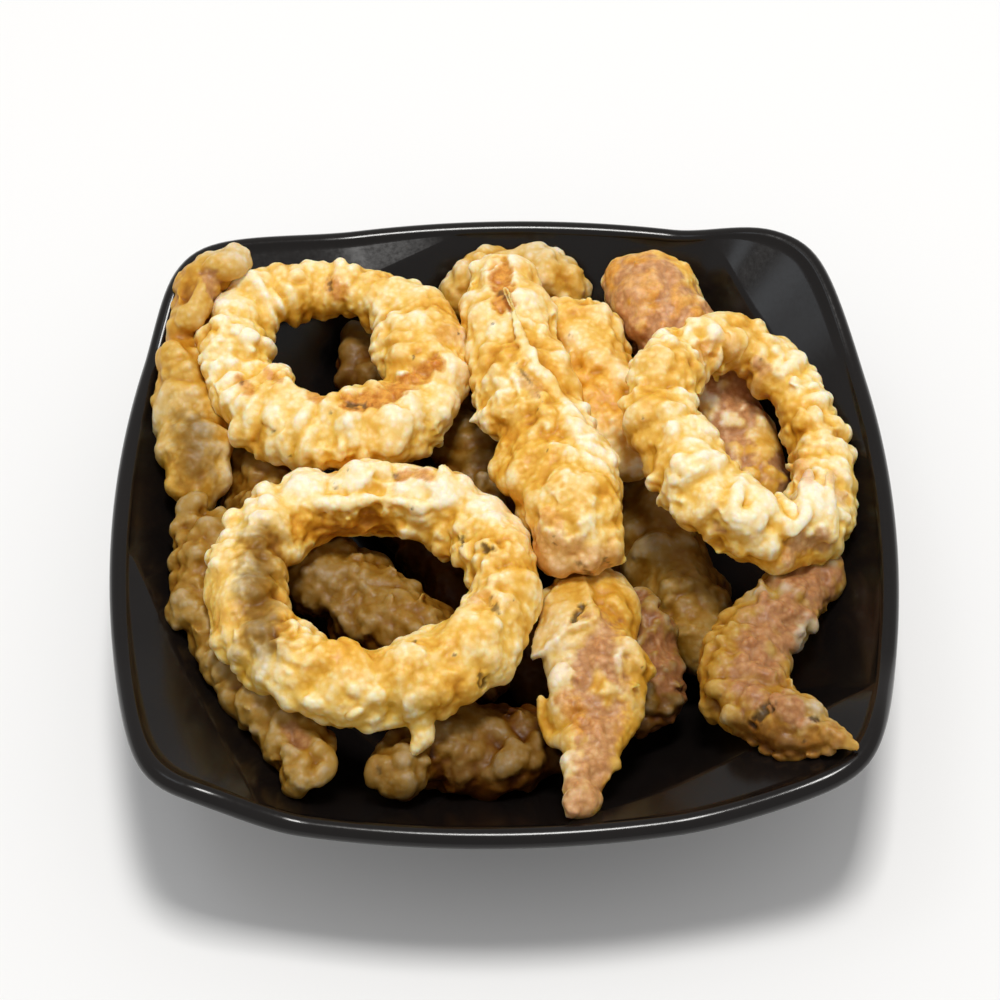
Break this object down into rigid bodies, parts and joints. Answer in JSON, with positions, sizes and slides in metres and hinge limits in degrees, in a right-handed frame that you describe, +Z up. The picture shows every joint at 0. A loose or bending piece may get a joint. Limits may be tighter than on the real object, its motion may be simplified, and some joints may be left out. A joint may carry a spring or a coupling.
{
  "type": "fried calamari in a dish",
  "caption": "Heap of battered, fried squid rings, strips and tentacles in a glossy black square pinwheel dish.",
  "frame": {"origin": "on the table, under the centre of the dish's foot ring", "axes": "+Z up, +X to the right and -Y towards the diner, as the picture shows the dish"},
  "size_m": [0.18, 0.18, 0.0598],
  "materials": {
    "black_melamine": "glossy black glaze",
    "golden_batter": "fried batter, golden with pale lumps and an oily sheen",
    "squid_skin": "pink-brown squid skin under thin batter"
  },
  "bodies": {
    "root": {"dish": "black_melamine", "ring_front_left": "golden_batter", "ring_back_left": "golden_batter", "ring_right": "golden_batter", "strip_centre": "golden_batter", "tail_front": "squid_skin", "tentacle_right": "squid_skin", "strip_left_back": "golden_batter", "strip_left_front": "golden_batter", "strip_back": "golden_batter", "strip_centre_right": "golden_batter", "skin_strip_back": "squid_skin", "tentacle_centre": "squid_skin", "tube_deep_right": "golden_batter", "strip_front": "golden_batter", "strip_under_ring": "golden_batter", "strip_deep_left": "golden_batter", "strip_floor": "golden_batter"}
  },
  "joints": []
}
